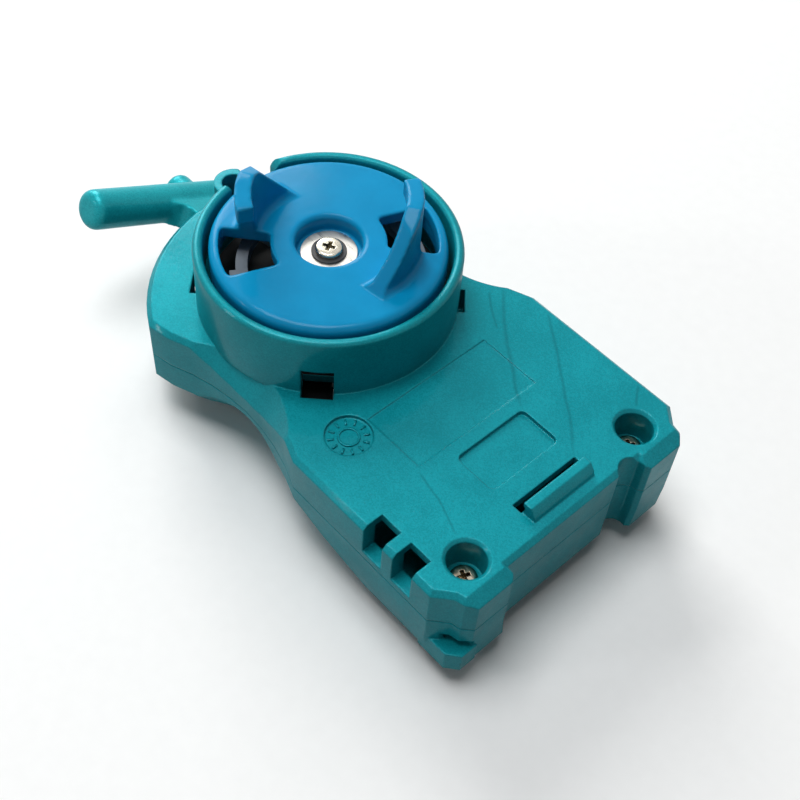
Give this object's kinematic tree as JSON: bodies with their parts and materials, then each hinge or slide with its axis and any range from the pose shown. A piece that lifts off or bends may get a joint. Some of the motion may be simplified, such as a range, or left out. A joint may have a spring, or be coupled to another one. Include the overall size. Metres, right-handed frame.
{
  "type": "spinning top launcher",
  "caption": "Hand-held string launcher for battle tops: a hooked disc in a round collar is spun by gears, a string reel and a T-shaped pull handle.",
  "frame": {"origin": "on the spin axis, at the flat pad of the back that the launcher lies on", "axes": "+Z out of the case through the hooks, +X from the spin axis to the tail; the handle pulls along -X"},
  "size_m": [0.1005, 0.0524, 0.0428],
  "materials": {
    "case_teal": "pearl teal, moulded, satin",
    "handle_teal": "pearl teal, moulded, satin",
    "disc_blue": "blue, moulded, satin",
    "gear_white": "natural acetal",
    "steel": "zinc plated",
    "bright_steel": "nickel plated",
    "spring_steel": "tempered strip",
    "brass": "turned",
    "black_ring": "plain",
    "string": "braided cord"
  },
  "bodies": {
    "case": {"front_shell": "case_teal", "back_shell": "case_teal", "front_bushing": "brass", "back_bushing": "brass", "idler_axle": "steel", "return_spring": "spring_steel", "string_guide": "brass", "tail_screw_left": "steel", "tail_screw_right": "steel", "nose_screw_left": "steel", "nose_screw_right": "steel"},
    "disc": {"prong_disc": "disc_blue", "drive_shaft": "steel", "output_pinion": "gear_white", "clutch_plate": "gear_white", "centre_washer": "bright_steel", "spacer_ring": "black_ring", "centre_screw": "bright_steel"},
    "idler": {"idler_gear": "gear_white"},
    "reel": {"string_reel": "gear_white", "reel_string": "string"},
    "handle": {"pull_handle": "handle_teal", "handle_plug": "handle_teal", "string_knot": "string", "pull_string": "string"}
  },
  "joints": [
    {"name": "reel_spin", "type": "hinge", "parent": "case", "child": "reel", "pos_m": [0, 0, 0], "axis": [0, 0, 1], "range_deg": [0, 2122], "stiffness_Nm_per_rad": 0.00135, "springref_deg": -572.96, "deforming": ["return_spring"]},
    {"name": "handle_pull", "type": "slide", "parent": "case", "child": "handle", "axis": [-1, 0, 0], "range_m": [0, 0.5], "deforming": ["pull_string"]},
    {"name": "idler_spin", "type": "hinge", "parent": "case", "child": "idler", "pos_m": [0.02185, 0, 0], "axis": [0, 0, 1], "range_deg": [-4860, 0]},
    {"name": "disc_spin", "type": "hinge", "parent": "case", "child": "disc", "pos_m": [0, 0, 0], "axis": [0, 0, 1], "range_deg": [0, 6900]}
  ],
  "couplings": [
    {"joint": "handle_pull", "follows": "reel_spin", "m_per_rad": 0.0135},
    {"joint": "idler_spin", "follows": "reel_spin", "ratio": -2.2857},
    {"joint": "disc_spin", "follows": "reel_spin", "ratio": 3.2481}
  ]
}
